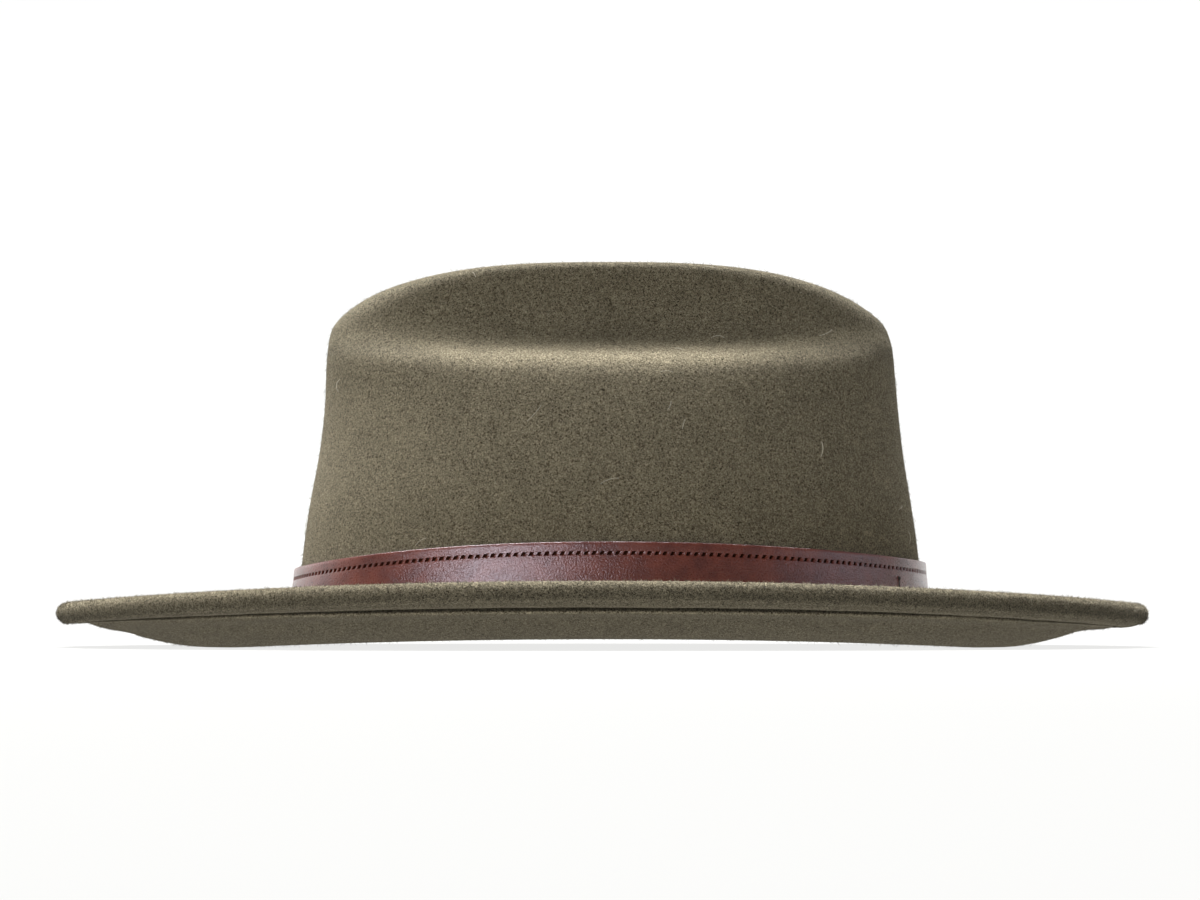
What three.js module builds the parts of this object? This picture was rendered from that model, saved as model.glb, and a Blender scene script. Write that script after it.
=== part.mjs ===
import * as THREE from 'three';

// A felt hat in millimetres. +X is the front, +Z is up, and the hat rests on a surface at z = 0.

// The whole hat
const hatLength = 357.2;
const hatWidth = 315.2;
const hatHeight = 123.7;

// The crown's base, on the outside of the felt, and how far it sits forward of the brim's middle
const crownLength = 208;
const crownWidth = 176;
const crownForward = 2.6;

// The height of the brim's top face at the rim
const rimHeightFront = 13.6;
const rimHeightSide = 20.05;
const rimHeightBack = 14.25;

// The felt, the thick edge folded under the rim, the slit beside the fold, how far in from the slit the
// brim thins to the plain felt, and the flats pressed into it where the hat rests
const felt = 2.8;
const edgeThickness = 6.2;
const foldWidth = 5.4;
const slitWidth = 1.7;
const slitDepth = 2.6;
const lipReach = 14;
const restFlat = 0.4;

// The leather band round the crown's foot
const bandWidth = 19;
const bandThickness = 2;
const bandClearance = 0.35;
const bandLift = 0.3;
const bandBevel = 0.4;

// How square the brim's outline is, from 2 for an ellipse upwards, and how closely the heights at the
// front and the back keep to the ends of the crown and of the brim
const brimSquare = 2.14;
const crownEndPower = 3;
const brimEndPower = 2;

// How finely the surfaces are cut into flat faces
const anglesRound = 64;
const foldFacets = 4;
const lipFacets = 3;

// Guide rows of the crown from the middle of its crease out to its foot. Out is a share of the crown's
// half length or half width, up is a share of the hat's height, and square is the outline's squareness.
const crownTable = table(
  ['outFront', 'upFront', 'outSide', 'upSide', 'outBack', 'upBack', 'square'],
  [
    [0.000, 0.844, 0.000, 0.844, 0.000, 0.844, 2.00], // floor of the crease
    [0.200, 0.841, 0.110, 0.851, 0.200, 0.841, 2.00],
    [0.420, 0.851, 0.220, 0.881, 0.420, 0.851, 2.10],
    [0.580, 0.885, 0.320, 0.944, 0.580, 0.885, 2.20], // rise to the ridge
    [0.665, 0.928, 0.430, 0.988, 0.675, 0.929, 2.30],
    [0.755, 0.936, 0.540, 1.010, 0.750, 0.944, 2.35], // ridge
    [0.843, 0.891, 0.582, 0.983, 0.827, 0.905, 2.40],
    [0.885, 0.862, 0.552, 0.925, 0.877, 0.869, 2.60], // side dent
    [0.898, 0.830, 0.528, 0.859, 0.892, 0.838, 2.80],
    [0.907, 0.801, 0.575, 0.793, 0.896, 0.807, 2.80],
    [0.911, 0.771, 0.690, 0.765, 0.901, 0.777, 2.50], // ledge under the dent
    [0.916, 0.732, 0.800, 0.736, 0.905, 0.737, 2.20],
    [0.923, 0.665, 0.840, 0.667, 0.905, 0.666, 2.10], // wall
    [0.938, 0.523, 0.890, 0.536, 0.921, 0.521, 2.10],
    [0.966, 0.383, 0.940, 0.404, 0.957, 0.382, 2.10],
    [0.987, 0.263, 0.972, 0.293, 0.975, 0.253, 2.10],
    [0.996, 0.167, 0.990, 0.207, 0.988, 0.157, 2.10],
    [0.999, 0.111, 0.997, 0.152, 0.996, 0.101, 2.10],
  ],
);

// Guide rows of the brim from the crown's foot to the rim. Out is a share of the brim's width, and up
// is a share of the rim's height at the front, the side and the back.
const brimTable = table(
  ['out', 'upFront', 'upSide', 'upBack'],
  [
    [0.000, 0.590, 0.620, 0.400], // foot of the crown
    [0.045, 0.480, 0.560, 0.345],
    [0.110, 0.370, 0.440, 0.290],
    [0.190, 0.245, 0.338, 0.225],
    [0.300, 0.173, 0.285, 0.178], // lowest ring, where the hat rests at the front and the back
    [0.450, 0.230, 0.339, 0.212],
    [0.620, 0.402, 0.502, 0.353],
    [0.800, 0.732, 0.751, 0.655],
    [0.930, 0.858, 0.888, 0.985],
    [1.000, 1.000, 1.000, 1.000], // rim
  ],
);

function table(columns, rows) {
  return rows.map((row) => Object.fromEntries(columns.map((column, i) => [column, row[i]])));
}

const foldRadius = edgeThickness / 2;
const rimHalfLength = hatLength / 2 - foldRadius;
const rimHalfWidth = hatWidth / 2 - foldRadius;

// Each guide row as real reaches and heights at the front, the side and the back
const crownFront = crownLength / 2 + crownForward;
const crownBack = crownLength / 2 - crownForward;
const guides = [
  ...crownTable.map((row) => ({
    reachFront: crownForward + row.outFront * crownLength / 2,
    reachBack: row.outBack * crownLength / 2 - crownForward,
    reachSide: row.outSide * crownWidth / 2,
    heightFront: row.upFront * hatHeight,
    heightSide: row.upSide * hatHeight,
    heightBack: row.upBack * hatHeight,
    square: row.square,
    endPower: crownEndPower,
  })),
  ...brimTable.map((row) => ({
    reachFront: crownFront + row.out * (rimHalfLength - crownFront),
    reachBack: crownBack + row.out * (rimHalfLength - crownBack),
    reachSide: crownWidth / 2 + row.out * (rimHalfWidth - crownWidth / 2),
    heightFront: row.upFront * rimHeightFront,
    heightSide: row.upSide * rimHeightSide,
    heightBack: row.upBack * rimHeightBack,
    square: brimSquare,
    endPower: brimEndPower,
  })),
];
const footRow = crownTable.length;
const rimRow = guides.length - 1;

// The row before the first mirrors the second across the middle, so the crease's floor is smooth, and
// the row after the last goes straight on
function guideAt(index) {
  if (index >= 0 && index <= rimRow) return guides[index];
  const end = guides[index < 0 ? 0 : rimRow];
  const next = guides[index < 0 ? 1 : rimRow - 1];
  const straightOn = Object.fromEntries(Object.keys(end).map((key) => [key, 2 * end[key] - next[key]]));
  const level = { heightFront: next.heightFront, heightSide: next.heightSide, heightBack: next.heightBack };
  return index < 0 ? { ...straightOn, ...level } : straightOn;
}

// A smooth section between the guide rows, as a uniform cubic B-spline
function sectionAt(row) {
  const start = Math.min(Math.floor(row), rimRow - 1);
  const t = row - start;
  const weights = [
    (1 - t) ** 3 / 6,
    (3 * t ** 3 - 6 * t ** 2 + 4) / 6,
    (-3 * t ** 3 + 3 * t ** 2 + 3 * t + 1) / 6,
    t ** 3 / 6,
  ];
  const around = weights.map((_, i) => guideAt(start - 1 + i));
  const blend = (key) => weights.reduce((sum, weight, i) => sum + weight * around[i][key], 0);
  return Object.fromEntries(Object.keys(guides[0]).map((key) => [key, blend(key)]));
}

// A point on the felt's outer and upper face. The outline of each row is a superellipse, and its height
// passes from the side's to the front's or the back's towards the ends.
function skinPoint(row, angle) {
  const section = sectionAt(row);
  const cos = Math.cos(angle);
  const sin = Math.sin(angle);
  const along = Math.sign(cos) * Math.abs(cos) ** (2 / section.square);
  const across = Math.sign(sin) * Math.abs(sin) ** (2 / section.square);
  const middle = (section.reachFront - section.reachBack) / 2;
  const halfLength = (section.reachFront + section.reachBack) / 2;
  const endShare = Math.abs(along) ** section.endPower;
  const endHeight = section.heightFront * (1 + cos) / 2 + section.heightBack * (1 - cos) / 2;
  const height = section.heightSide * (1 - endShare) + endHeight * endShare;
  return new THREE.Vector3(middle + halfLength * along, section.reachSide * across, height);
}

// The unit normal of that face, and the direction across the rows, from small steps on the face
const smallAngle = 0.01;
const smallRow = 0.01;

function acrossRows(row, angle) {
  const after = skinPoint(Math.min(row + smallRow, rimRow), angle);
  return after.sub(skinPoint(row - smallRow, angle)).normalize();
}

function skinNormal(row, angle) {
  if (row < smallRow) return new THREE.Vector3(0, 0, 1);
  const round = skinPoint(row, angle + smallAngle).sub(skinPoint(row, angle - smallAngle));
  return acrossRows(row, angle).cross(round).normalize();
}

// A point below the face by a depth through the felt
function underPoint(row, angle, depth) {
  return skinPoint(row, angle).addScaledVector(skinNormal(row, angle), -depth);
}

const angles = Array.from({ length: anglesRound }, (_, i) => 2 * Math.PI * i / anglesRound);

// One ring of points for each guide row, and one more on each side of the lowest ring, so that its flats
// have a width
const guideRows = Array.from({ length: rimRow + 1 }, (_, i) => i);
const restRow = guideRows.reduce((low, row) => (guides[row].heightFront < guides[low].heightFront ? row : low));
const allRows = [...guideRows, restRow - 1 / 2, restRow + 1 / 2].sort((a, b) => a - b);

// The hat sinks until its lowest ring is pressed flat by restFlat
const brimRows = allRows.filter((row) => row > footRow);
const lowest = Math.min(...brimRows.flatMap((row) => angles.map((angle) => underPoint(row, angle, felt).z)));
const floorShift = -(lowest + restFlat);

function settled(point) {
  point.z = Math.max(point.z + floorShift, 0);
  return point;
}

function ring(place) {
  return angles.map((angle) => settled(place(angle)));
}

// The row on the brim that lies a given distance in from the rim
function rowInFromRim(distance) {
  const reach = sectionAt(rimRow).reachSide - distance;
  return bisect(footRow, rimRow, (row) => sectionAt(row).reachSide > reach);
}

// The row between two others where a test turns true
function bisect(low, high, isPast) {
  const halvings = 30;
  for (let i = 0; i < halvings; i += 1) {
    const middle = (low + high) / 2;
    if (isPast(middle)) high = middle;
    else low = middle;
  }
  return (low + high) / 2;
}

// A closed mesh from rings of points. The rings join one after another, and either close on the first
// ring or are capped by one point at each end.
function ringMesh(rings, caps) {
  const points = [...rings.flat(), ...caps];
  const triangles = [];
  const at = (r, a) => (r % rings.length) * anglesRound + (a % anglesRound);
  const lastJoin = caps.length ? rings.length - 1 : rings.length;
  for (let r = 0; r < lastJoin; r += 1) {
    for (let a = 0; a < anglesRound; a += 1) {
      triangles.push(at(r, a), at(r + 1, a), at(r + 1, a + 1));
      triangles.push(at(r, a), at(r + 1, a + 1), at(r, a + 1));
    }
  }
  if (caps.length) {
    const firstCap = rings.length * anglesRound;
    for (let a = 0; a < anglesRound; a += 1) {
      triangles.push(firstCap, at(0, a), at(0, a + 1));
      triangles.push(firstCap + 1, at(rings.length - 1, a + 1), at(rings.length - 1, a));
    }
  }
  const geometry = new THREE.BufferGeometry().setFromPoints(points);
  geometry.setIndex(triangles);
  geometry.computeVertexNormals();
  return geometry;
}

// A ring on the brim's underside at a distance in from the rim and a depth below the top face
function underRing(distance, depth) {
  const row = rowInFromRim(distance);
  return ring((angle) => underPoint(row, angle, depth));
}

// How thick the brim is at a share of the lip's reach, passing smoothly from the edge to the plain felt
function lipThickness(share) {
  return felt + (edgeThickness - felt) * (1 - 3 * share ** 2 + 2 * share ** 3);
}

// The felt body: crown and brim in one piece, with the rim's edge folded under
function feltGeometry() {
  const lipRow = rowInFromRim(foldWidth + slitWidth + lipReach);
  const upperRows = allRows.slice(1);
  const lowerRows = upperRows.filter((row) => row < lipRow - 1 / 4).reverse();
  const upper = upperRows.map((row) => ring((angle) => skinPoint(row, angle)));
  const edge = Array.from({ length: foldFacets }, (_, i) => Math.PI * (i + 1) / foldFacets);
  const rolled = edge.map((turn) => ring((angle) => skinPoint(rimRow, angle)
    .addScaledVector(acrossRows(rimRow, angle), foldRadius * Math.sin(turn))
    .addScaledVector(skinNormal(rimRow, angle), -foldRadius * (1 - Math.cos(turn)))));
  const lipShares = Array.from({ length: lipFacets }, (_, i) => (i + 1) / lipFacets);
  const folded = [
    underRing(foldWidth / 2, edgeThickness),
    underRing(foldWidth, edgeThickness),
    underRing(foldWidth, edgeThickness - slitDepth),
    underRing(foldWidth + slitWidth, edgeThickness - slitDepth),
    underRing(foldWidth + slitWidth, edgeThickness),
    ...lipShares.map((share) => underRing(foldWidth + slitWidth + share * lipReach, lipThickness(share))),
  ];
  const lower = lowerRows.map((row) => ring((angle) => underPoint(row, angle, felt)));
  const caps = [settled(skinPoint(0, 0)), settled(underPoint(0, 0, felt))];
  return ringMesh([...upper, ...rolled, ...folded, ...lower], caps);
}

// A point on the crown's wall at a height, moved level outwards by a distance
function wallPoint(height, angle, outward) {
  const row = bisect(footRow / 2, footRow, (middle) => skinPoint(middle, angle).z < height);
  const round = skinPoint(row, angle + smallAngle).sub(skinPoint(row, angle - smallAngle));
  const level = new THREE.Vector3(round.y, -round.x, 0).normalize();
  const point = skinPoint(row, angle).addScaledVector(level, outward);
  point.z = height + floorShift;
  return point;
}

// The band's section as shares of its width upwards and of its thickness outwards, with bevelled edges
const bevelUp = bandBevel / bandWidth;
const bevelOut = bandBevel / bandThickness;
const bandSection = [
  { up: 0, out: 0 },
  { up: 1 / 2, out: 0 },
  { up: 1, out: 0 },
  { up: 1, out: 1 - bevelOut },
  { up: 1 - bevelUp, out: 1 },
  { up: 1 / 2, out: 1 },
  { up: bevelUp, out: 1 },
  { up: 0, out: 1 - bevelOut },
];

function bandGeometry() {
  const rings = bandSection.map(({ up, out }) => angles.map((angle) => {
    const foot = skinPoint(footRow, angle).z + bandLift;
    return wallPoint(foot + up * bandWidth, angle, bandClearance + out * bandThickness);
  }));
  return ringMesh(rings, []);
}

const feltMaterial = new THREE.MeshStandardMaterial({ color: 0x615c4a, roughness: 0.95, metalness: 0 });
const leatherMaterial = new THREE.MeshStandardMaterial({ color: 0x51312c, roughness: 0.35, metalness: 0 });

const feltBody = new THREE.Mesh(feltGeometry(), feltMaterial);
feltBody.name = 'felt_body';

const leatherBand = new THREE.Mesh(bandGeometry(), leatherMaterial);
leatherBand.name = 'leather_band';

const group = new THREE.Group();
group.add(feltBody, leatherBand);

export default group;
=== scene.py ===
"""A brushed olive felt hat with a creased crown and a brown leather strap, on a pale floor.

The hat's front is +X. The surfaces are worked out in millimetres and become metres when a mesh is made.
"""

import math

import bpy
import numpy as np
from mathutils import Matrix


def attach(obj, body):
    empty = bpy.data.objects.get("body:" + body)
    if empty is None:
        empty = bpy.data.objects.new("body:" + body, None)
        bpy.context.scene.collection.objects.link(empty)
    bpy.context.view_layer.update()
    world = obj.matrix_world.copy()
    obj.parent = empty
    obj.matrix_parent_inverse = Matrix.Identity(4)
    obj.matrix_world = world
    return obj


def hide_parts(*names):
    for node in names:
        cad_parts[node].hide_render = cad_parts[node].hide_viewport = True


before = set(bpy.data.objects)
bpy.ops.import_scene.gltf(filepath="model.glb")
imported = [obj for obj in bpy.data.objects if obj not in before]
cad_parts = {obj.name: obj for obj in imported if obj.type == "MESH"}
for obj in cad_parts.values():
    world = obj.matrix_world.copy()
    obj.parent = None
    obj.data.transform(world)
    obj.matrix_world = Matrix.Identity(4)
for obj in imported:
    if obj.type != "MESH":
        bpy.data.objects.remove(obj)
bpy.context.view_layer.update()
MM = 0.001

# The hat's own sizes, in millimetres, as in its CAD source
HAT_LENGTH = 357.2
HAT_WIDTH = 315.2
HAT_HEIGHT = 123.7
CROWN_LENGTH = 208.0
CROWN_WIDTH = 176.0
CROWN_FORWARD = 2.6
RIM_HEIGHT_FRONT = 13.6
RIM_HEIGHT_SIDE = 20.05
RIM_HEIGHT_BACK = 14.25
FELT = 2.8
EDGE_THICKNESS = 6.2
FOLD_WIDTH = 5.4
SLIT_WIDTH = 1.9
SLIT_DEPTH = 2.6
LIP_REACH = 14.0
LIP_EASE = 1.7
FLAP_THINNING = 0.7
REST_FLAT = 0.4
BAND_WIDTH = 19.0
BAND_THICKNESS = 2.0
BAND_CLEARANCE = 0.35
BAND_LIFT = 0.3
BRIM_SQUARE = 2.14
CROWN_END_POWER = 3.0
BRIM_END_POWER = 2.0

# Guide rows of the crown, from the middle of its crease out to its foot: the share of the half length or
# half width and of the hat's height at the front, the side and the back, and the outline's squareness
CROWN_ROWS = np.array([
    [0.000, 0.844, 0.000, 0.844, 0.000, 0.844, 2.00],
    [0.200, 0.841, 0.110, 0.851, 0.200, 0.841, 2.00],
    [0.420, 0.851, 0.220, 0.881, 0.420, 0.851, 2.10],
    [0.580, 0.885, 0.320, 0.944, 0.580, 0.885, 2.20],
    [0.665, 0.928, 0.430, 0.988, 0.675, 0.929, 2.30],
    [0.755, 0.936, 0.540, 1.010, 0.750, 0.944, 2.35],
    [0.843, 0.891, 0.582, 0.983, 0.827, 0.905, 2.40],
    [0.885, 0.862, 0.552, 0.925, 0.877, 0.869, 2.60],
    [0.898, 0.830, 0.528, 0.859, 0.892, 0.838, 2.80],
    [0.907, 0.801, 0.575, 0.793, 0.896, 0.807, 2.80],
    [0.911, 0.771, 0.690, 0.765, 0.901, 0.777, 2.50],
    [0.916, 0.732, 0.800, 0.736, 0.905, 0.737, 2.20],
    [0.923, 0.665, 0.840, 0.667, 0.905, 0.666, 2.10],
    [0.938, 0.523, 0.890, 0.536, 0.921, 0.521, 2.10],
    [0.966, 0.383, 0.940, 0.404, 0.957, 0.382, 2.10],
    [0.987, 0.263, 0.972, 0.293, 0.975, 0.253, 2.10],
    [0.996, 0.167, 0.990, 0.207, 0.988, 0.157, 2.10],
    [0.999, 0.111, 0.997, 0.152, 0.996, 0.101, 2.10],
])

# Guide rows of the brim, from the crown's foot to the rim: the share of the brim's width, and of the
# rim's height at the front, the side and the back
BRIM_ROWS = np.array([
    [0.000, 0.590, 0.620, 0.400],
    [0.045, 0.480, 0.560, 0.345],
    [0.110, 0.370, 0.440, 0.290],
    [0.190, 0.245, 0.338, 0.225],
    [0.300, 0.173, 0.285, 0.178],
    [0.450, 0.230, 0.339, 0.212],
    [0.620, 0.402, 0.502, 0.353],
    [0.800, 0.732, 0.751, 0.655],
    [0.930, 0.858, 0.888, 0.985],
    [1.000, 1.000, 1.000, 1.000],
])

FOOT_ROW = len(CROWN_ROWS)
RIM_ROW = FOOT_ROW + len(BRIM_ROWS) - 1
FOLD_RADIUS = EDGE_THICKNESS / 2
RIM_HALF_LENGTH = HAT_LENGTH / 2 - FOLD_RADIUS
RIM_HALF_WIDTH = HAT_WIDTH / 2 - FOLD_RADIUS
SMALL_STEP = 0.01


def guide_rows():
    """The guide rows as real sizes, with one more row before the first and after the last.

    The columns are the reach to the front, back and side, the height at the front, side and back, the
    outline's squareness, and the power of its end heights. The row before the first mirrors the second
    across the middle, and the row after the last goes straight on.
    """
    out_front, up_front, out_side, up_side, out_back, up_back, square = CROWN_ROWS.T
    crown = np.stack([
        CROWN_FORWARD + out_front * CROWN_LENGTH / 2,
        out_back * CROWN_LENGTH / 2 - CROWN_FORWARD,
        out_side * CROWN_WIDTH / 2,
        up_front * HAT_HEIGHT,
        up_side * HAT_HEIGHT,
        up_back * HAT_HEIGHT,
        square,
        np.full(FOOT_ROW, CROWN_END_POWER),
    ], axis=1)
    out, up_front, up_side, up_back = BRIM_ROWS.T
    front = CROWN_LENGTH / 2 + CROWN_FORWARD
    back = CROWN_LENGTH / 2 - CROWN_FORWARD
    brim = np.stack([
        front + out * (RIM_HALF_LENGTH - front),
        back + out * (RIM_HALF_LENGTH - back),
        CROWN_WIDTH / 2 + out * (RIM_HALF_WIDTH - CROWN_WIDTH / 2),
        up_front * RIM_HEIGHT_FRONT,
        up_side * RIM_HEIGHT_SIDE,
        up_back * RIM_HEIGHT_BACK,
        np.full(len(out), BRIM_SQUARE),
        np.full(len(out), BRIM_END_POWER),
    ], axis=1)
    rows = np.concatenate([crown, brim])
    before = 2 * rows[0] - rows[1]
    before[3:6] = rows[1, 3:6]
    after = 2 * rows[-1] - rows[-2]
    return np.concatenate([[before], rows, [after]])


GUIDES = guide_rows()


def section_at(rows):
    """The guide columns at any row, as a uniform cubic B-spline: four neighbouring guide rows weighted by
    (1-t)^3/6, (3t^3-6t^2+4)/6, (-3t^3+3t^2+3t+1)/6 and t^3/6."""
    rows = np.asarray(rows, float)
    start = np.clip(np.floor(rows), 0, RIM_ROW - 1).astype(int)
    t = (rows - start)[..., None]
    weights = (
        (1 - t) ** 3 / 6,
        (3 * t ** 3 - 6 * t ** 2 + 4) / 6,
        (-3 * t ** 3 + 3 * t ** 2 + 3 * t + 1) / 6,
        t ** 3 / 6,
    )
    return sum(weight * GUIDES[start + i] for i, weight in enumerate(weights))


def plain_skin(rows, angles):
    """The felt's outer and upper face before it sinks to the floor.

    The outline at each row is a superellipse: x runs as sign(cos) |cos|^(2/square) and y as the same of
    sin. The height passes from the side's to the end's by |x share|^power.
    """
    section = section_at(rows)
    front, back, side, up_front, up_side, up_back, square, power = np.moveaxis(section, -1, 0)
    cos, sin = np.cos(angles), np.sin(angles)
    along = np.sign(cos) * np.abs(cos) ** (2 / square)
    across = np.sign(sin) * np.abs(sin) ** (2 / square)
    end_share = np.abs(along) ** power
    end_height = up_front * (1 + cos) / 2 + up_back * (1 - cos) / 2
    x = (front - back) / 2 + (front + back) / 2 * along
    y = side * across
    z = up_side * (1 - end_share) + end_height * end_share
    return np.stack(np.broadcast_arrays(x, y, z), axis=-1)


def unit(vectors):
    return vectors / np.maximum(np.linalg.norm(vectors, axis=-1, keepdims=True), 1e-9)


def across_rows(rows, angles):
    """The direction on the face from the crown's middle towards the rim."""
    after = np.minimum(rows + SMALL_STEP, RIM_ROW)
    before = np.maximum(rows - SMALL_STEP, 0)
    return unit(plain_skin(after, angles) - plain_skin(before, angles))


def skin_normal(rows, angles):
    """The outward unit normal of the face, from small steps across and along its rows."""
    rows = np.maximum(rows, 2 * SMALL_STEP)
    around = plain_skin(rows, angles + SMALL_STEP) - plain_skin(rows, angles - SMALL_STEP)
    return unit(np.cross(across_rows(rows, angles), around))


def under_skin(rows, angles, depth):
    return plain_skin(rows, angles) - depth * skin_normal(rows, angles)


def floor_shift():
    """How far the hat sinks, so that its lowest ring is pressed flat by REST_FLAT."""
    rows = np.arange(FOOT_ROW + 1, RIM_ROW, 0.5)
    rows, angles = np.meshgrid(rows, np.linspace(0, 2 * np.pi, 64, endpoint=False))
    return -(under_skin(rows, angles, FELT)[..., 2].min() + REST_FLAT)


FLOOR_SHIFT = floor_shift()


def settled(points):
    """Points moved down with the hat, and kept above the floor that presses them flat."""
    points = points.copy()
    points[..., 2] = np.maximum(points[..., 2] + FLOOR_SHIFT, 0.0)
    return points


def bisect(low, high, is_past, halvings=30):
    """The value between two others, one for each item, where a test turns true."""
    for _ in range(halvings):
        middle = (low + high) / 2
        past = is_past(middle)
        high = np.where(past, middle, high)
        low = np.where(past, low, middle)
    return (low + high) / 2


def rows_in_from_rim(distance):
    """The row on the brim that lies a distance in from the rim."""
    distance = np.asarray(distance, float)
    low = np.full(distance.shape, float(FOOT_ROW))
    high = np.full(distance.shape, float(RIM_ROW))
    reach = GUIDES[RIM_ROW + 1, 2] - distance
    return bisect(low, high, lambda row: section_at(row)[..., 2] > reach)


def under_thickness(distance):
    """How thick the brim is at a distance in from the rim: EDGE_THICKNESS beside the slit, falling to
    FELT over LIP_REACH by the share 1 - 3t^2 + 2t^3."""
    t = np.clip((distance - FOLD_WIDTH - SLIT_WIDTH) / LIP_REACH, 0, 1)
    return FELT + (EDGE_THICKNESS - FELT) * (1 - 3 * t ** 2 + 2 * t ** 3)


# Meshes

def add_mesh(name, points, faces, smooth=True):
    """An object from arrays of points in millimetres and of faces with the same number of corners."""
    mesh = bpy.data.meshes.new(name)
    count, corners = faces.shape
    mesh.vertices.add(len(points))
    mesh.vertices.foreach_set("co", (points * MM).astype(np.float32).ravel())
    mesh.loops.add(count * corners)
    mesh.loops.foreach_set("vertex_index", faces.astype(np.int32).ravel())
    mesh.polygons.add(count)
    mesh.polygons.foreach_set("loop_start", np.arange(0, count * corners, corners, dtype=np.int32))
    mesh.polygons.foreach_set("use_smooth", np.full(count, smooth))
    mesh.update(calc_edges=True)
    mesh.validate()
    piece = bpy.data.objects.new(name, mesh)
    bpy.context.scene.collection.objects.link(piece)
    return piece


def grid_faces(rings, columns, close_rings):
    """Four-cornered faces between rings of points, each ring closed on itself."""
    r = np.arange(rings if close_rings else rings - 1)[:, None]
    c = np.arange(columns)[None, :]
    after = (r + 1) % rings
    beside = (c + 1) % columns
    here = [r * columns + c, after * columns + c, after * columns + beside, r * columns + beside]
    return np.stack(here, axis=-1).reshape(-1, 4)


def store(piece, name, values):
    """One number for each point of a piece, for its material to read."""
    layer = piece.data.attributes.new(name, "FLOAT", "POINT")
    layer.data.foreach_set("value", values.astype(np.float32))


def finish_piece(piece, material, slot, *nodes):
    piece.data.materials.append(material)
    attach(piece, "root")
    if nodes:
        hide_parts(*nodes)
    return piece


# The felt: crown, brim and folded rim in one skin

FELT_COLUMNS = 336
CROWN_RINGS = 104
BRIM_RINGS = 43
UPPER_RINGS = CROWN_RINGS + BRIM_RINGS
ROLL_RINGS = 12
# Between the crown's ridge and its dent, where the upper wall leans out over the ledge, the felt is a little
# darker: painted shade
UPPER_WALL_PAINTED_SHADE_ROW = 6.3
UPPER_WALL_PAINTED_SHADE_ROWS = 2.0
UPPER_WALL_PAINTED_SHADE = 0.2
# On the ledge under the dent the felt has a painted highlight, where light from above falls on it, and
# painted shade at the ledge's ends, where that highlight fades
LEDGE_ROW = 10.6
LEDGE_ROWS = 0.9
# The ledge's painted highlight is strongest in its middle and turns to painted shade at its ends, and climbs
# some rows towards them. Its ends begin where |cos| of the angle passes LEDGE_FADES, and are full
# LEDGE_FADING later.
LEDGE_PAINTED_HIGHLIGHT = 0.40
LEDGE_END_PAINTED_SHADE = 0.24
LEDGE_CLIMBS = 1.1
LEDGE_FADES = 0.30
LEDGE_FADING = 0.45
# Near its two tips the slit is in shadow, and the line under the edge goes on dark: from |cos| = TIP_STARTS
# on, over TIP_SPREADS, its lip is darker by TIP_DARKER
TIP_STARTS = 0.62
TIP_SPREADS = 0.14
TIP_DARKER = 0.65
# Inwards of the slit the brim's underside is a little darker: painted shade under the brim
UNDER_BRIM_PAINTED_SHADE = 0.9
# How light the fold's first rings are, and those down one wall of the slit, up the other and over its lip:
# painted shade on the fold's face and in the slit, and a painted highlight along the lip
FLAP_RINGS = 6
FLAP_SHADES = (0.72, 0.82, 0.92)
SLIT_SHADES = (0.8, 0.5, 0.3, 0.25, 0.25, 0.4, 1.3, 1.4, 1.15)
LIP_RING = 6
LIP_RINGS = 14
# Painted light on the top of the rolled edge and painted shade round its front and underside: how light and
# how much darker it is painted, its darkest turn in degrees, and how far round it that reaches
EDGE_PAINTED_LIGHT = 1.15
EDGE_PAINTED_SHADE = 0.6
EDGE_DARK_TURN = 138.0
EDGE_DARK_REACH = 42.0
# The fold's cut end is uneven by a sum of waves, each with as many turns round the hat as listed
RIPPLE_HEIGHT = 0.05
RIPPLE_TURNS = (9, 23, 41, 67)


def painted_edge_light_and_shade(turn):
    """How light the rolled edge is painted at a turn round it in degrees: the light value less the darker
    one times exp(-((turn - darkest) / reach)^2). This is painted light on the roll's top and painted shade
    below where it stands out furthest, where little light reaches."""
    return EDGE_PAINTED_LIGHT - EDGE_PAINTED_SHADE * np.exp(-((turn - EDGE_DARK_TURN) / EDGE_DARK_REACH) ** 2)


def end_share(columns, starts, spreads):
    """How near each column is to the front or back end: (|cos| - starts) / spreads, kept from 0 to 1."""
    reach = np.abs(np.cos(np.linspace(0, 2 * np.pi, columns, endpoint=False)))[None, :]
    return np.clip((reach - starts) / spreads, 0, 1)


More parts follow.
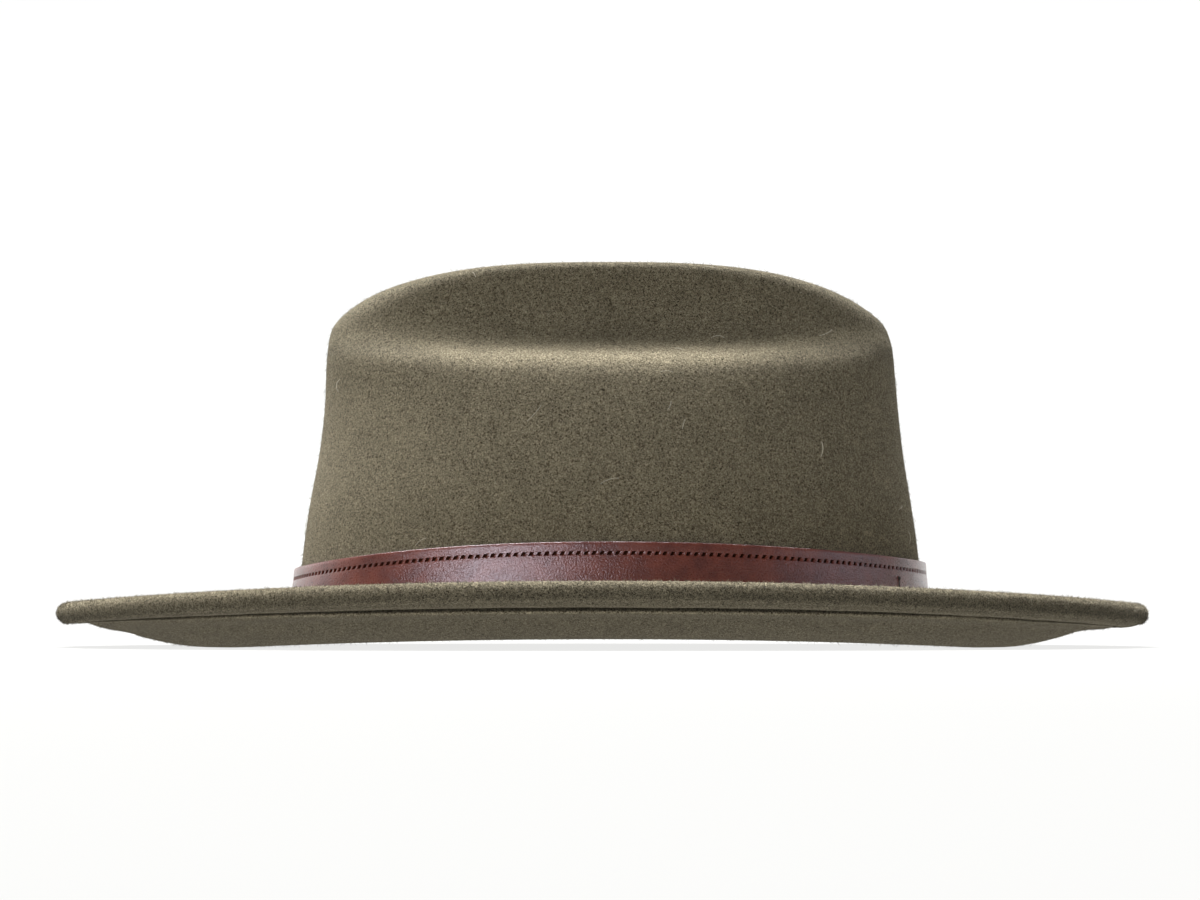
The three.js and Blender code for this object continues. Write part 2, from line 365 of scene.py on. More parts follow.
def felt_rings():
    """The rings of the felt, from the crease's middle over the crown and brim, round the rolled rim, back
    under the fold, up into the slit and down to its lip, and inwards below the face to the middle again.

    The fold's cut end is uneven by the sum of RIPPLE_HEIGHT sin(turns angle + turns^2). The lip beside the
    slit is thinner by LIP_EASE cos^2 of the angle, less and less inwards.
    """
    angles = np.linspace(0, 2 * np.pi, FELT_COLUMNS, endpoint=False)[None, :]
    ripple = sum(RIPPLE_HEIGHT * np.sin(turns * angles + turns ** 2) for turns in RIPPLE_TURNS)[..., None]
    ends = LIP_EASE * np.cos(angles)[..., None] ** 2

    def under(distances, depths, ease=0.0):
        rows = rows_in_from_rim(distances)[:, None]
        return under_skin(rows, angles, np.asarray(depths, float)[:, None, None] - ease)

    crown_rows = np.linspace(0.12, FOOT_ROW, CROWN_RINGS)
    upper_rows = np.concatenate([crown_rows, np.linspace(FOOT_ROW, RIM_ROW, BRIM_RINGS + 1)[1:]])
    upper = plain_skin(upper_rows[:, None], angles)
    turns = np.linspace(0, np.pi, ROLL_RINGS + 1)[1:][:, None, None]
    rolled = (
        plain_skin(RIM_ROW, angles)
        + across_rows(RIM_ROW, angles) * FOLD_RADIUS * np.sin(turns)
        - skin_normal(RIM_ROW, angles) * FOLD_RADIUS * (1 - np.cos(turns))
    )
    flap = under(
        np.linspace(1.0, FOLD_WIDTH - 0.5, FLAP_RINGS),
        EDGE_THICKNESS - np.linspace(0, 1, FLAP_RINGS) ** 2 * FLAP_THINNING,
    )
    flap_end = under(
        FOLD_WIDTH - np.array([0.2, 0.04, 0.0, 0.0]),
        EDGE_THICKNESS - FLAP_THINNING - np.array([0.1, 0.3, 0.6, SLIT_DEPTH - FLAP_THINNING]),
        ripple,
    )
    lip_end = under(
        FOLD_WIDTH + SLIT_WIDTH + np.array([0.0, 0.0, 0.04, 0.2]),
        EDGE_THICKNESS - np.array([SLIT_DEPTH, 0.8, 0.35, 0.1]),
        ends,
    )
    inner = FOLD_WIDTH + SLIT_WIDTH + LIP_REACH * np.linspace(0.04, 1, LIP_RINGS)
    lip = under(inner, under_thickness(inner), ends * (1 - np.linspace(0, 1, LIP_RINGS)[:, None, None]))
    lip_row = float(rows_in_from_rim(inner[-1]))
    lower_rows = np.concatenate([
        np.linspace(lip_row, FOOT_ROW, 30)[1:],
        np.linspace(FOOT_ROW, 0.3, 64)[1:],
    ])
    lower = under_skin(lower_rows[:, None], angles, FELT)
    return np.concatenate([upper, rolled, flap, flap_end, lip_end, lip, lower])


def felt_shade(count, columns):
    """How light the felt is painted at each point of its rings, 1 where it is plain. These are painted light
    and shade, standing in for how light falls on the felt.

    On the crown it is 1 less UPPER_WALL_PAINTED_SHADE exp(-((row - grip row) / grip rows)^2), plus the
    ledge's term, which is such a bell round the ledge's row times LEDGE_PAINTED_HIGHLIGHT, and passes to
    -LEDGE_END_PAINTED_SHADE at the ledge's ends by the share 3e^2 - 2e^3.
    """
    shade = np.ones((count, columns))
    rows = np.linspace(0, FOOT_ROW, CROWN_RINGS)[:, None]
    ends = end_share(columns, LEDGE_FADES, LEDGE_FADING)
    ends = ends ** 2 * (3 - 2 * ends)
    ledge = np.exp(-((rows - LEDGE_ROW + LEDGE_CLIMBS * ends) / LEDGE_ROWS) ** 2)
    # Painted shade under the crown's ridge
    shade[:CROWN_RINGS] -= UPPER_WALL_PAINTED_SHADE * np.exp(-((rows - UPPER_WALL_PAINTED_SHADE_ROW) / UPPER_WALL_PAINTED_SHADE_ROWS) ** 2)
    # The ledge's painted highlight, turning to painted shade at its ends
    shade[:CROWN_RINGS] += ledge * (LEDGE_PAINTED_HIGHLIGHT * (1 - ends) - LEDGE_END_PAINTED_SHADE * ends)
    flap = UPPER_RINGS + ROLL_RINGS
    # The rolled edge's painted light and shade
    shade[UPPER_RINGS:flap] = painted_edge_light_and_shade(np.linspace(0, 180, ROLL_RINGS + 1)[1:, None])
    # Painted shade on the fold's face and in the slit, and a painted highlight along the lip
    shade[flap:flap + len(FLAP_SHADES)] = np.array(FLAP_SHADES)[:, None]
    slit = flap + FLAP_RINGS
    shade[slit:slit + len(SLIT_SHADES)] = np.array(SLIT_SHADES)[:, None]
    lip = slit + LIP_RING
    shade[lip:lip + 2] *= 1 - TIP_DARKER * end_share(columns, TIP_STARTS, TIP_SPREADS)
    # Painted shade under the brim
    shade[slit + len(SLIT_SHADES):] *= UNDER_BRIM_PAINTED_SHADE
    return shade


def felt_piece():
    """The felt as one closed skin of rings, with a fan of triangles at its middle above and below."""
    rings = settled(felt_rings())
    count, columns, _ = rings.shape
    middle_top = settled(plain_skin(0.0, 0.0))
    middle_under = middle_top - [0, 0, FELT]
    points = np.concatenate([rings.reshape(-1, 3), [middle_top, middle_under]])
    faces = grid_faces(count, columns, close_rings=False)
    top = count * columns
    c = np.arange(columns)
    beside = (c + 1) % columns
    last = (count - 1) * columns
    caps = np.concatenate([
        np.stack([np.full(columns, top), c, beside], axis=-1),
        np.stack([np.full(columns, top + 1), last + beside, last + c], axis=-1),
    ])
    triangles = np.concatenate([faces[:, [0, 1, 2]], faces[:, [0, 2, 3]], caps])
    piece = add_mesh("felt_hat", points, triangles)
    shade = felt_shade(count, columns)
    store(piece, "shade", np.append(shade.ravel(), [1.0, 1.0]))
    return piece


# The nap: loose wool fibres that stand out of the felt

def scatter(low_row, high_row, count, rng):
    """Rows and angles spread evenly over the face's area: a cell of a fine grid is drawn by its area, and
    the fibre gets a random place in it."""
    rows = np.linspace(low_row, high_row, 160)
    angles = np.linspace(0, 2 * np.pi, 241)
    corners = plain_skin(rows[:, None], angles[None, :])
    across = corners[1:, :-1] - corners[:-1, :-1]
    round_ = corners[:-1, 1:] - corners[:-1, :-1]
    area = np.linalg.norm(np.cross(across, round_), axis=-1)
    cell = rng.choice(area.size, count, p=(area / area.sum()).ravel())
    r, a = np.divmod(cell, area.shape[1])
    row_step = rows[1] - rows[0]
    angle_step = angles[1] - angles[0]
    return rows[r] + row_step * rng.random(count), angles[a] + angle_step * rng.random(count)


def fibre_mesh(name, feet, tips, widths, tints):
    """Slender closed spikes, each a three-cornered foot round its base point and one tip."""
    direction = unit(tips - feet)
    upright = np.abs(direction[:, 2:]) < 0.9
    side = unit(np.cross(direction, np.where(upright, [0.0, 0.0, 1.0], [1.0, 0.0, 0.0])))
    third = np.cross(direction, side)
    corners = [
        feet + widths[:, None] / 2 * (math.cos(turn) * side + math.sin(turn) * third)
        for turn in (0, 2 * math.pi / 3, 4 * math.pi / 3)
    ]
    points = np.stack([*corners, tips], axis=1).reshape(-1, 3)
    first = 4 * np.arange(len(feet))[:, None, None]
    spike = np.array([[0, 2, 1], [0, 1, 3], [1, 2, 3], [2, 0, 3]])[None]
    piece = add_mesh(name, points, (first + spike).reshape(-1, 3), smooth=False)
    store(piece, "tint", np.repeat(tints, 4))
    return piece


def nap(name, feet, normals, brushed, seed, length, lift, width, shade=1.0):
    """Fibres that lean from the normal towards a brushed direction plus a random one on the face. Length,
    lift and width are given as their lowest and highest, with short and low fibres the commonest."""
    rng = np.random.default_rng(seed)
    count = len(feet)
    wild = rng.normal(size=(count, 3))
    wild = unit(wild - (wild * normals).sum(-1, keepdims=True) * normals)
    lying = unit(wild + brushed)
    raised = np.radians(lift[0] + (lift[1] - lift[0]) * rng.random(count) ** 1.6)[:, None]
    reach = (length[0] + (length[1] - length[0]) * rng.random(count) ** 2.2)[:, None]
    tips = feet + reach * (np.cos(raised) * lying + np.sin(raised) * normals)
    feet = feet - 0.12 * normals
    tips[:, 2] = np.maximum(tips[:, 2], 0.05)
    widths = width[0] + (width[1] - width[0]) * rng.random(count)
    return fibre_mesh(name, feet, tips, widths, rng.random(count) * shade)


def top_nap(name, low_row, high_row, count, seed, **shape):
    """Nap on the crown's or the brim's upper face, brushed a little towards the rim."""
    rng = np.random.default_rng(seed)
    rows, angles = scatter(low_row, high_row, count, rng)
    feet = settled(plain_skin(rows, angles))
    normals = skin_normal(rows, angles)
    return nap(name, feet, normals, 0.5 * across_rows(rows, angles), seed + 1, **shape)


def rim_nap(name, count, seed, turned, **shape):
    """Nap on the rolled rim: each fibre's foot is at a random turn, between the lowest and highest turned,
    of the half circle round the rim. 0 degrees is on top, 90 is outermost and 180 is on the fold's face."""
    rng = np.random.default_rng(seed)
    angles = 2 * np.pi * rng.random(count)
    degrees = turned[0] + (turned[1] - turned[0]) * rng.random(count)
    turns = np.radians(degrees)[:, None]
    outward = across_rows(np.full(count, float(RIM_ROW)), angles)
    normal = skin_normal(np.full(count, float(RIM_ROW)), angles)
    centre = plain_skin(np.full(count, float(RIM_ROW)), angles) - FOLD_RADIUS * normal
    facing = np.sin(turns) * outward + np.cos(turns) * normal
    inward_top = np.minimum(np.sin(turns), 0.0)
    beyond = np.maximum(np.sin(turns), 0) * outward
    feet = settled(centre + FOLD_RADIUS * (beyond + np.cos(turns) * normal))
    feet += inward_top * outward * FOLD_RADIUS
    # The rim's fibres take the rolled edge's painted light and shade in their tints
    return nap(name, feet, unit(facing), 0.0 * facing, seed + 1, shade=painted_edge_light_and_shade(degrees), **shape)


def under_nap(name, count, seed, **shape):
    """Nap under the brim, inwards of the slit, on the eased lip too."""
    rng = np.random.default_rng(seed)
    lip_row = float(rows_in_from_rim(FOLD_WIDTH + SLIT_WIDTH + 0.3))
    rows, angles = scatter(FOOT_ROW, lip_row, count, rng)
    normals = -skin_normal(rows, angles)
    distances = GUIDES[RIM_ROW + 1, 2] - section_at(rows)[..., 2]
    lip = (distances - FOLD_WIDTH - SLIT_WIDTH) / LIP_REACH
    ease = LIP_EASE * np.cos(angles) ** 2 * np.clip(1 - lip, 0, 1)
    feet = settled(under_skin(rows, angles, (under_thickness(distances) - ease)[:, None]))
    return nap(name, feet, normals, 0.0 * normals, seed + 1, **shape)


# Loose hairs and the strap's tack stitch

HAIR_STATIONS = 7
HAIR_WIDTH = 0.15
HAIR_CURL = 0.4
HAIR_LENGTHS = (2.5, 7.0)
HAIR_ARCHES = (0.2, 0.8)


def thread_tubes(name, paths, sides, outs, widths):
    """Three-cornered tubes along paths, an array of threads by stations by x, y and z. A corner is the
    path's point plus half the width times cos(turn) of the side direction and sin(turn) of the outward."""
    threads, stations, _ = paths.shape
    half = np.broadcast_to(widths, (threads, stations))[..., None] / 2
    corners = [
        paths + half * (math.cos(turn) * sides[:, None] + math.sin(turn) * outs[:, None])
        for turn in (math.pi / 2, math.pi * 7 / 6, math.pi * 11 / 6)
    ]
    points = np.stack(corners, axis=2).reshape(-1, 3)
    station = 3 * (np.arange(threads)[:, None] * stations + np.arange(stations - 1)[None, :])
    a = station[:, :, None] + np.arange(3)
    b = station[:, :, None] + (np.arange(3) + 1) % 3
    walls = np.concatenate([np.stack([a, b, b + 3], axis=-1), np.stack([a, b + 3, a + 3], axis=-1)], axis=2)
    first = 3 * stations * np.arange(threads)[:, None]
    caps = np.concatenate([first + np.array([0, 2, 1]), first + 3 * (stations - 1) + np.array([0, 1, 2])])
    return add_mesh(name, points, np.concatenate([walls.reshape(-1, 3), caps]), smooth=False)


def stray_hairs(name, count, seed):
    """Long single fibres that lie loosely on the crown. With s from 0 to 1, each goes its length times s
    along the face, its curl times s squared sideways, and stands off by its arch times 4 s (1 - s)."""
    rng = np.random.default_rng(seed)
    rows, angles = scatter(4.0, FOOT_ROW - 2.0, count, rng)
    normals = skin_normal(rows, angles)
    lying = rng.normal(size=(count, 3))
    lying = unit(lying - (lying * normals).sum(-1, keepdims=True) * normals)
    sides = np.cross(normals, lying)
    share = np.linspace(0, 1, HAIR_STATIONS)[None, :, None]
    length = rng.uniform(*HAIR_LENGTHS, count)[:, None, None]
    curl = HAIR_CURL * length * rng.uniform(-1, 1, count)[:, None, None]
    arch = rng.uniform(*HAIR_ARCHES, count)[:, None, None]
    paths = settled(plain_skin(rows, angles))[:, None] + length * share * lying[:, None]
    paths = paths + curl * share ** 2 * sides[:, None]
    paths = paths + (0.2 + 4 * arch * share * (1 - share)) * normals[:, None]
    return thread_tubes(name, paths, sides, normals, HAIR_WIDTH)


# The leather strap

MARK_PITCH = 2.48
MARK_LINE = BAND_WIDTH - 3.6
# Where the columns stand in each mark's pitch, as shares of it, and how deep each lies, 1 in the pit
MARK_COLUMNS = np.array([[0.00, 0.0], [0.10, 0.0], [0.18, 1.0], [0.54, 1.0], [0.62, 0.27], [0.84, 0.0]])
MARK_DEPTH = 0.65
STRAP_RISE = 0.7
MARK_SLANT = 0.5
GROOVE_DEPTH = 0.14
GROOVE_WIDTH = 1.1
# The strap's section from the foot of its inner face round to the foot of its outer face: height and
# distance from the inner face in millimetres, and the share of the mark's depth at that height
STRAP_SECTION = np.array([
    [0.40, 0.00, 0.0],
    [6.00, 0.00, 0.0],
    [13.0, 0.00, 0.0],
    [18.60, 0.00, 0.0],
    [18.88, 0.12, 0.0],
    [19.00, 0.45, 0.0],
    [19.00, 1.50, 0.0],
    [18.90, 1.82, 0.0],
    [18.62, 1.98, 0.0],
    [17.80, 2.00, 0.0],
    [16.90, 2.00, 0.0],
    [16.20, 2.00, 0.0],
    [16.02, 2.00, 0.0],
    [15.82, 2.00, 1.0],
    [15.40, 2.00, 1.0],
    [14.98, 2.00, 1.0],
    [14.78, 2.00, 0.0],
    [14.55, 2.00, 0.0],
    [13.80, 2.00, 0.0],
    [11.50, 2.00, 0.0],
    [7.50, 2.00, 0.0],
    [3.50, 2.00, 0.0],
    [0.60, 2.00, 0.0],
    [0.15, 1.85, 0.0],
    [0.00, 1.50, 0.0],
    [0.00, 0.40, 0.0],
])


def wall_points(heights, angles, outward):
    """Points on the crown's wall at given heights, moved level outwards by a distance."""
    shape = np.broadcast_shapes(np.shape(heights), np.shape(angles))
    low = np.full(shape, FOOT_ROW / 2)
    high = np.full(shape, float(FOOT_ROW))
    rows = bisect(low, high, lambda row: plain_skin(row, angles)[..., 2] < heights, halvings=24)
    around = plain_skin(rows, angles + SMALL_STEP) - plain_skin(rows, angles - SMALL_STEP)
    level = unit(np.stack([around[..., 1], -around[..., 0], np.zeros(shape)], axis=-1))
    points = plain_skin(rows, angles) + level * np.asarray(outward)[..., None]
    points[..., 2] = heights + FLOOR_SHIFT
    return points


def strap_lengths():
    """The distance along the wall's foot at fine steps of the angle."""
    angles = np.linspace(0, 2 * np.pi, 2881)
    foot = plain_skin(np.full(angles.shape, FOOT_ROW - 1.0), angles)
    steps = np.linalg.norm(np.diff(foot[:, :2], axis=0), axis=1) * (1 + BAND_THICKNESS / 100)
    return angles, np.concatenate([[0], np.cumsum(steps)])


def strap_piece():
    """The strap as a section swept round the crown's foot, which rises by STRAP_RISE sin^2 of the angle.

    A column's pits go in by depth times the column's share times the section row's share, the columns slant
    where they cross the row of marks, and a shallow groove follows the row: exp(-(height / width)^2).
    """
    angles, lengths = strap_lengths()
    marks = round(lengths[-1] / MARK_PITCH)
    pitch = lengths[-1] / marks
    place = (np.arange(marks)[:, None] + MARK_COLUMNS[None, :, 0]).ravel() * pitch
    pit = np.tile(MARK_COLUMNS[:, 1], marks)
    heights, depths, shares = STRAP_SECTION[:, None, :].transpose(2, 0, 1)
    near = np.exp(-((heights - MARK_LINE) / (1.2 * GROOVE_WIDTH)) ** 4)
    slanted = place[None, :] + MARK_SLANT * (heights - MARK_LINE) * near
    column_angles = np.interp(slanted % lengths[-1], lengths, angles)
    outer = depths > BAND_THICKNESS / 2
    groove = GROOVE_DEPTH * np.exp(-((heights - MARK_LINE) / GROOVE_WIDTH) ** 2) * outer
    sunk = groove + MARK_DEPTH * shares * pit[None, :]
    foot = plain_skin(np.full(column_angles.shape, float(FOOT_ROW)), column_angles)[..., 2] + BAND_LIFT
    foot = foot + STRAP_RISE * np.sin(column_angles) ** 2
    points = wall_points(foot + heights, column_angles, BAND_CLEARANCE + depths - sunk)
    rows, columns, _ = points.shape
    faces = grid_faces(rows, columns, close_rings=True)
    piece = add_mesh("leather_strap", points.reshape(-1, 3), faces)
    piece.data.set_sharp_from_angle(angle=math.radians(38))
    corner = faces.ravel()
    row, column = np.divmod(corner, columns)
    along = slanted[row, column].reshape(-1, 4)
    wrapped = along.max(axis=1, keepdims=True) - along > lengths[-1] / 2
    along = np.where(wrapped, along + lengths[-1], along)
    up = np.broadcast_to(heights, slanted.shape)[row, column]
    layer = piece.data.uv_layers.new(name="strap")
    flat = np.stack([along.ravel() * MM, up * MM], axis=-1)
    layer.data.foreach_set("uv", flat.astype(np.float32).ravel())
    edge = (heights > 18.7) | (depths < 1.95)
    store(piece, "pit", np.maximum(shares * pit[None, :], 0.8 * edge).ravel())
    return piece


TACK_ANGLE = math.radians(-29.5)
TACK_TOP = 12.8
# Down from the stitch's top: how far each station is, and how wide the thread is there
TACK_DOWN = np.array([5.5, 4.0, 2.6, 1.6, 1.1, 0.8, 0.4, 0.0])
TACK_WIDTHS = np.array([0.3, 0.5, 0.5, 0.5, 0.8, 1.3, 1.3, 0.6])


def tack_stitch(name):
    """The short dark stitch that holds the strap near its front: a thread up the strap's face to a knot. Its
    width is 0.5 mm, and 1.3 mm at the knot."""
    heights = TACK_TOP - TACK_DOWN
    angle = np.full(heights.shape, TACK_ANGLE)
    foot = plain_skin(np.full(1, float(FOOT_ROW)), angle[:1])[..., 2] + BAND_LIFT
    foot = foot + STRAP_RISE * math.sin(TACK_ANGLE) ** 2
    proud = BAND_CLEARANCE + BAND_THICKNESS + 0.05
    path = wall_points(foot + heights, angle, np.full(heights.shape, proud))
    out = unit(path[:1] - wall_points(foot + heights[:1], angle[:1], np.zeros(1)))
    side = unit(np.cross(out, [[0.0, 0.0, 1.0]]))
    return thread_tubes(name, path[None], side, out, TACK_WIDTHS[None])


# Materials

def linear(colour):
    """A colour given as sRGB hex, turned into linear red, green, blue and alpha."""
    parts = [int(colour[i:i + 2], 16) / 255 for i in (1, 3, 5)]
    return (*[c / 12.92 if c <= 0.04045 else ((c + 0.055) / 1.055) ** 2.4 for c in parts], 1.0)


def new_material(name):
    material = bpy.data.materials.new(name)
    material.use_nodes = True
    tree = material.node_tree
    return material, tree, tree.nodes["Principled BSDF"]


def add_node(tree, kind, inputs=None, **settings):
    """A node with its settings and inputs; an input that is a socket is linked."""
    node = tree.nodes.new(kind)
    for name, value in settings.items():
        setattr(node, name, value)
    for name, value in (inputs or {}).items():
        if isinstance(value, bpy.types.NodeSocket):
            tree.links.new(value, node.inputs[name])
        else:
            node.inputs[name].default_value = value
    return node


def noise(tree, vector, size, detail=2.0, roughness=0.5, distortion=0.0):
    """Noise whose lumps are about size millimetres across."""
    return add_node(tree, "ShaderNodeTexNoise", {
        "Vector": vector,
        "Scale": 1 / (size * MM),
        "Detail": detail,
        "Roughness": roughness,
        "Distortion": distortion,
    }).outputs["Fac"]


def remap(tree, value, low, high, to_low=0.0, to_high=1.0):
    return add_node(tree, "ShaderNodeMapRange", {
        "Value": value, "From Min": low, "From Max": high, "To Min": to_low, "To Max": to_high,
    }).outputs["Result"]


def mix_colour(tree, factor, first, second, blend="MIX"):
    node = add_node(tree, "ShaderNodeMix", data_type="RGBA", blend_type=blend)
    for socket, value in ((0, factor), (6, first), (7, second)):
        if isinstance(value, bpy.types.NodeSocket):
            tree.links.new(value, node.inputs[socket])
        else:
            node.inputs[socket].default_value = value
    return node.outputs[2]


def math_node(tree, operation, first, second):
    return add_node(tree, "ShaderNodeMath", {0: first, 1: second}, operation=operation).outputs[0]


def felt_material():
    """Wool felt, fulled and then brushed: tangled olive fibres with lighter and darker ones among them."""
    material, tree, shader = new_material("brushed_olive_wool_felt")
    place = add_node(tree, "ShaderNodeTexCoord").outputs["Object"]
    tangle = noise(tree, place, 0.47, detail=3.0, roughness=0.7, distortion=1.6)
    fleck = noise(tree, place, 1.2, detail=2.0, roughness=0.6, distortion=1.0)
    cloud = noise(tree, place, 9.0, detail=2.0)
    fibres = mix_colour(tree, remap(tree, tangle, 0.41, 0.59), linear("#1b150e"), linear("#a39980"))
    flecks = mix_colour(tree, remap(tree, fleck, 0.35, 0.7, 0.0, 0.3), fibres, linear("#484131"))
    # The shade attribute is painted light and shade: painted highlights on the ledge and the rim's top,
    # painted shade under the ridge, round the rolled edge, in the slit and under the brim
    edge = add_node(tree, "ShaderNodeAttribute", attribute_name="shade").outputs["Fac"]
    shade = math_node(tree, "MULTIPLY", remap(tree, cloud, 0.3, 0.7, 0.92, 1.06), edge)
    colour = mix_colour(tree, 1.0, flecks, add_node(tree, "ShaderNodeCombineColor", {
        "Red": shade, "Green": shade, "Blue": shade}).outputs["Color"], blend="MULTIPLY")
    tree.links.new(colour, shader.inputs["Base Color"])
    height = math_node(tree, "ADD", tangle, math_node(tree, "MULTIPLY", fleck, 0.7))
    bump = add_node(tree, "ShaderNodeBump", {"Strength": 1.0, "Distance": 0.75 * MM, "Height": height})
    tree.links.new(bump.outputs["Normal"], shader.inputs["Normal"])
    shader.inputs["Roughness"].default_value = 0.95
    shader.inputs["Specular IOR Level"].default_value = 0.15
    shader.inputs["Sheen Weight"].default_value = 0.10
    shader.inputs["Sheen Roughness"].default_value = 0.5
    shader.inputs["Sheen Tint"].default_value = linear("#a39b80")
    return material


def nap_material():
    """Loose wool fibres: pale, half lit through, each a little lighter or darker than the next."""
    material, tree, shader = new_material("loose_wool_nap")
    # On the rolled rim the tints also carry its painted light and shade
    tint = add_node(tree, "ShaderNodeAttribute", attribute_name="tint").outputs["Fac"]
    colour = mix_colour(tree, math_node(tree, "POWER", tint, 2.0), linear("#2b261b"), linear("#a79e87"))
    tree.links.new(colour, shader.inputs["Base Color"])
    shader.inputs["Roughness"].default_value = 0.8
    shader.inputs["Specular IOR Level"].default_value = 0.3
    return material


def leather_material():
    """Smooth red-brown leather, dyed, burnished and waxed: fine grain, stretch lines along the strap, and
    a dark bottom to each pressed mark."""
    material, tree, shader = new_material("burnished_brown_leather")
    strap = add_node(tree, "ShaderNodeUVMap", uv_map="strap").outputs["UV"]
    stretching = add_node(tree, "ShaderNodeMapping", {"Vector": strap, "Scale": (0.12, 1.0, 1.0)})
    stretched = stretching.outputs["Vector"]
    grain = noise(tree, strap, 0.62, detail=2.0, roughness=0.6)
    lines = noise(tree, stretched, 0.9, detail=2.0, roughness=0.5, distortion=0.6)
    patches = noise(tree, strap, 22.0, detail=1.0)
    dye = noise(tree, strap, 7.0, detail=2.0)
    colour = mix_colour(tree, remap(tree, dye, 0.3, 0.7), linear("#51251a"), linear("#6b3424"))
    pit = add_node(tree, "ShaderNodeAttribute", attribute_name="pit").outputs["Fac"]
    pebbles = remap(tree, grain, 0.3, 0.7, 0.84, 1.14)
    grained = mix_colour(tree, 1.0, colour, add_node(tree, "ShaderNodeCombineColor", {
        "Red": pebbles, "Green": pebbles, "Blue": pebbles}).outputs["Color"], blend="MULTIPLY")
    pressed = remap(tree, pit, 0.35, 1.0)
    dark = mix_colour(tree, pressed, grained, linear("#2e170f"))
    tree.links.new(dark, shader.inputs["Base Color"])
    smooth = remap(tree, grain, 0.3, 0.7, 0.25, 0.35)
    rough = math_node(tree, "MAXIMUM", smooth, math_node(tree, "MULTIPLY", pressed, 0.85))
    tree.links.new(rough, shader.inputs["Roughness"])
    tree.links.new(remap(tree, pressed, 0.0, 1.0, 0.5, 0.02), shader.inputs["Specular IOR Level"])
    tree.links.new(remap(tree, pressed, 0.0, 1.0, 0.85, 0.0), shader.inputs["Coat Weight"])
    wrinkled = math_node(tree, "MULTIPLY", lines, remap(tree, patches, 0.52, 0.68))
    height = math_node(tree, "ADD", math_node(tree, "MULTIPLY", grain, 0.8), wrinkled)
    bump = add_node(tree, "ShaderNodeBump", {"Strength": 0.6, "Distance": 0.35 * MM, "Height": height})
    tree.links.new(bump.outputs["Normal"], shader.inputs["Normal"])
    tree.links.new(bump.outputs["Normal"], shader.inputs["Coat Normal"])
    shader.inputs["Coat Roughness"].default_value = 0.26
    shader.inputs["Specular Tint"].default_value = linear("#f2e2ff")
    return material


def thread_material(name, colour):
    """A plain matt thread or hair of one colour."""
    material, _, shader = new_material(name)
    shader.inputs["Base Color"].default_value = linear(colour)
    shader.inputs["Roughness"].default_value = 0.6
    return material


def floor_material():
    """Pale frosted sheet, lit a little from beneath as on a photographer's table, and faintly uneven."""
    material, tree, shader = new_material("pale_frosted_sheet")
    place = add_node(tree, "ShaderNodeTexCoord").outputs["Object"]
    cloud = noise(tree, place, 300.0)
    colour = mix_colour(tree, cloud, linear("#4a4a49"), linear("#4d4d4c"))
    tree.links.new(colour, shader.inputs["Base Color"])
    shader.inputs["Roughness"].default_value = 1.0
    shader.inputs["Specular IOR Level"].default_value = 0.0
    shader.inputs["Emission Color"].default_value = (1.0, 1.0, 0.99, 1.0)
    shader.inputs["Emission Strength"].default_value = 0.80
    return material


# Stage

FLOOR_REACH = 3000.0
COVE_RADIUS = 900.0
COVE_START = 1600.0
COVE_HEIGHT = 2600.0


def stage():
    """A paper sweep: flat under the hat, a quarter circle far behind it, then straight up."""
    turns = np.linspace(0, np.pi / 2, 25)
    flat = [(-FLOOR_REACH, 0.0), (0.0, 0.0), (COVE_START, 0.0)]
    curve = [
        (COVE_START + COVE_RADIUS * math.sin(t), COVE_RADIUS * (1 - math.cos(t)))
        for t in turns[1:]
    ]
    profile = np.array([*flat, *curve, (COVE_START + COVE_RADIUS, COVE_HEIGHT)])
    across = np.array([-FLOOR_REACH, FLOOR_REACH])
    points = np.array([[x, y, z] for y, z in profile for x in across])
    n = np.arange(len(profile) - 1)[:, None] * 2
    faces = (n + np.array([[0, 1, 3, 2]])).reshape(-1, 4)
    floor = add_mesh("paper_sweep", points, faces)
    floor.data.materials.append(floor_material())


def area_light(name, place, aim, width, height, watts, colour="#ffffff"):
    light = bpy.data.lights.new(name, "AREA")
    light.shape = "RECTANGLE"
    light.size = width
    light.size_y = height
    light.energy = watts
    light.color = linear(colour)[:3]
    lamp = bpy.data.objects.new(name, light)
    bpy.context.scene.collection.objects.link(lamp)
    lamp.location = place
    towards = np.array(aim, float) - np.array(place, float)
    level = math.hypot(towards[0], towards[1])
    lamp.rotation_euler = (math.atan2(level, -towards[2]), 0.0, math.atan2(-towards[0], towards[1]))
    return lamp


def lights():
    area_light("overhead_softbox", (-0.35, 0.6, 1.9), (0.0, 0.0, 0.0), 1.2, 1.2, 150)
    area_light("front_left_softbox", (-0.80, -1.15, 0.40), (0.0, 0.0, 0.05), 0.85, 0.42, 12.5)
    area_light("right_panel", (1.6, -0.25, 0.45), (0.0, 0.0, 0.05), 1.3, 0.28, 2.4, "#f2f8ff")
    area_light("left_panel", (-1.5, 0.95, 0.45), (0.0, 0.0, 0.05), 1.0, 0.28, 1.4)
    area_light("backdrop_light", (0.0, 0.9, 2.1), (0.0, 2.4, 0.3), 2.6, 0.6, 125)
    world = bpy.data.worlds.new("studio")
    world.use_nodes = True
    world.node_tree.nodes["Background"].inputs["Color"].default_value = (0.12, 0.12, 0.12, 1.0)
    bpy.context.scene.world = world


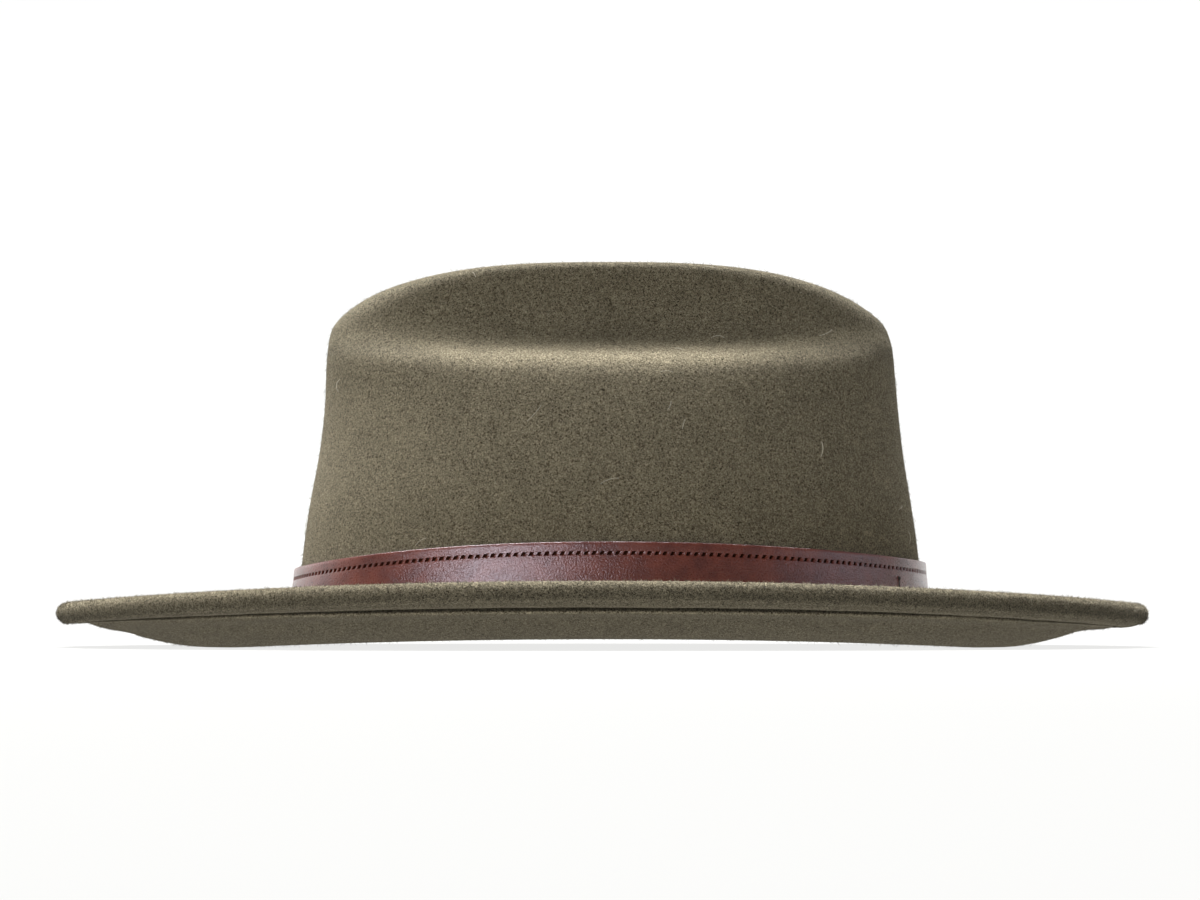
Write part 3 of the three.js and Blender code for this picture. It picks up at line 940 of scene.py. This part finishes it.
CAMERA_DISTANCE = 1150.0
CAMERA_HEIGHT = 9.0
CAMERA_SIDE = -0.27
CAMERA_PITCH = 0.04909
FOCAL_SHARE = 3450 / 1200


def camera():
    data = bpy.data.cameras.new("camera")
    data.sensor_width = 36.0
    data.lens = 36.0 * FOCAL_SHARE
    data.clip_start = 0.005
    data.clip_end = 50.0
    viewer = bpy.data.objects.new("camera", data)
    bpy.context.scene.collection.objects.link(viewer)
    viewer.location = (CAMERA_SIDE * MM, -CAMERA_DISTANCE * MM, CAMERA_HEIGHT * MM)
    viewer.rotation_euler = (math.pi / 2 + CAMERA_PITCH, 0.0, 0.0)
    bpy.context.scene.camera = viewer


felt = felt_material()
fibre = nap_material()
leather = leather_material()

finish_piece(felt_piece(), felt, "felt", "felt_body")
finish_piece(strap_piece(), leather, "band_leather", "leather_band")
nap_on_crown = top_nap(
    "nap_on_crown", 0.2, FOOT_ROW - 1.5, 42000, 11, length=(0.5, 2.2), lift=(2, 50), width=(0.08, 0.16))
finish_piece(nap_on_crown, fibre, "felt")
nap_on_brim = top_nap(
    "nap_on_brim", FOOT_ROW, RIM_ROW, 36000, 21, length=(0.5, 2.2), lift=(2, 60), width=(0.08, 0.16))
finish_piece(nap_on_brim, fibre, "felt")
for name, seed, turned in [("nap_on_rim_above", 31, (-25, 82)), ("nap_on_rim_below", 35, (82, 190))]:
    rim = rim_nap(name, 30000, seed, turned, length=(0.4, 1.6), lift=(3, 50), width=(0.09, 0.18))
    finish_piece(rim, fibre, "felt")
nap_under_brim = under_nap(
    "nap_under_brim", 22000, 41, length=(0.5, 1.8), lift=(2, 50), width=(0.07, 0.13))
finish_piece(nap_under_brim, fibre, "felt")
hair = thread_material("pale_wool_hair", "#c4beac")
finish_piece(stray_hairs("hairs_on_crown", 44, 51), hair, "felt")
thread = thread_material("dark_waxed_thread", "#1d120d")
finish_piece(tack_stitch("tack_stitch"), thread, "band_leather")

stage()
lights()
camera()
bpy.context.scene.view_settings.view_transform = "Standard"
